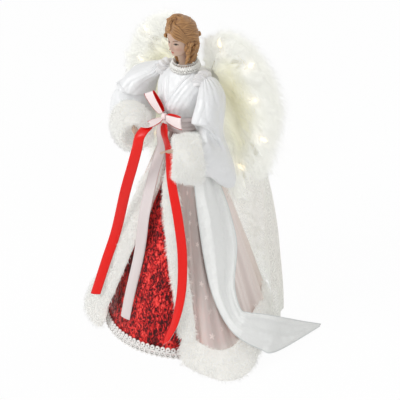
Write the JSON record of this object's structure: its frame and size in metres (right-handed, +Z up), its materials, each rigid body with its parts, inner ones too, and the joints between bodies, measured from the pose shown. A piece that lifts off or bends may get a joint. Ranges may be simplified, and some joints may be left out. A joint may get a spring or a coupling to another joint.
{
  "type": "angel tree topper",
  "caption": "Robed angel figure on a hollow cone that slips over a tree top, with poseable arms, fur-trimmed robe over a red skirt, ribbon bow and folding feather wings with small lights.",
  "frame": {"origin": "on the axis of the hollow cone, at the plane of its foot, where the tree top enters", "axes": "+Z up along the cone, -Y the way the figure faces, +X to the figure's own left"},
  "size_m": [0.2722, 0.2273, 0.406],
  "materials": {
    "cone_card": "plain rolled board",
    "body_plastic": "moulded, matt",
    "white_satin": "satin weave, soft sheen",
    "sash_ribbon": "sheer ribbon over satin",
    "red_tinsel": "crushed metallic tinsel",
    "lace_braid": "looped braid",
    "white_fur": "short plush pile",
    "organza": "sheer, crisp",
    "lace_net": "embroidered net",
    "red_ribbon": "satin ribbon",
    "pale_ribbon": "satin ribbon",
    "skin_resin": "painted resin, low sheen",
    "hair_resin": "painted resin with moulded curls",
    "silver_braid": "metallic thread and pearls",
    "arm_wire": "drawn wire",
    "wing_card": "plain board",
    "feather": "natural goose feather",
    "marabou": "loose down",
    "light_wire": "insulated wire",
    "lit_bulb": "clear, lit warm white"
  },
  "bodies": {
    "figure": {"support_cone": "cone_card", "torso": "body_plastic", "bodice": "white_satin", "waist_sash": "sash_ribbon", "red_skirt": "red_tinsel", "skirt_lace": "lace_braid", "hem_trim": "white_fur", "left_front_trim": "white_fur", "right_front_trim": "white_fur", "robe": "organza", "lace_train": "lace_net", "satin_stole": "white_satin", "right_ribbon_tail": "red_ribbon", "left_ribbon_tail": "red_ribbon", "middle_ribbon_tail": "pale_ribbon", "bow_knot": "pale_ribbon", "right_bow_loop": "pale_ribbon", "left_bow_loop": "pale_ribbon", "head": "skin_resin", "hair": "hair_resin", "collar_braid": "silver_braid", "wing_bracket": "body_plastic", "light_lead": "light_wire", "lead_clip": "body_plastic"},
    "left_arm": {"left_sleeve": "white_satin", "left_cuff": "white_fur", "left_hand": "skin_resin", "left_arm_wire": "arm_wire"},
    "right_arm": {"right_sleeve": "white_satin", "right_cuff": "white_fur", "right_hand": "skin_resin", "right_arm_wire": "arm_wire"},
    "left_wing": {"left_wing_card": "wing_card", "left_wing_quills": "feather", "left_wing_marabou": "marabou", "left_light_string": "light_wire", "left_bulb_1": "lit_bulb", "left_bulb_2": "lit_bulb", "left_bulb_3": "lit_bulb", "left_bulb_4": "lit_bulb", "left_bulb_5": "lit_bulb"},
    "right_wing": {"right_wing_card": "wing_card", "right_wing_quills": "feather", "right_wing_marabou": "marabou", "right_light_string": "light_wire", "right_bulb_1": "lit_bulb", "right_bulb_2": "lit_bulb", "right_bulb_3": "lit_bulb", "right_bulb_4": "lit_bulb", "right_bulb_5": "lit_bulb"}
  },
  "joints": [
    {"name": "left_shoulder", "type": "hinge", "parent": "figure", "child": "left_arm", "pos_m": [0.0342, -0.0021, 0.327], "axis": [0, -1, 0], "range_deg": [0, 25]},
    {"name": "right_shoulder", "type": "hinge", "parent": "figure", "child": "right_arm", "pos_m": [-0.0326, -0.0021, 0.3268], "axis": [0, 1, 0], "range_deg": [0, 25]},
    {"name": "left_wing_fold", "type": "hinge", "parent": "figure", "child": "left_wing", "pos_m": [0.011, 0.0317, 0.307], "axis": [0, 0, 1], "range_deg": [0, 20]},
    {"name": "right_wing_fold", "type": "hinge", "parent": "figure", "child": "right_wing", "pos_m": [-0.011, 0.0317, 0.307], "axis": [0, 0, -1], "range_deg": [0, 20]}
  ]
}
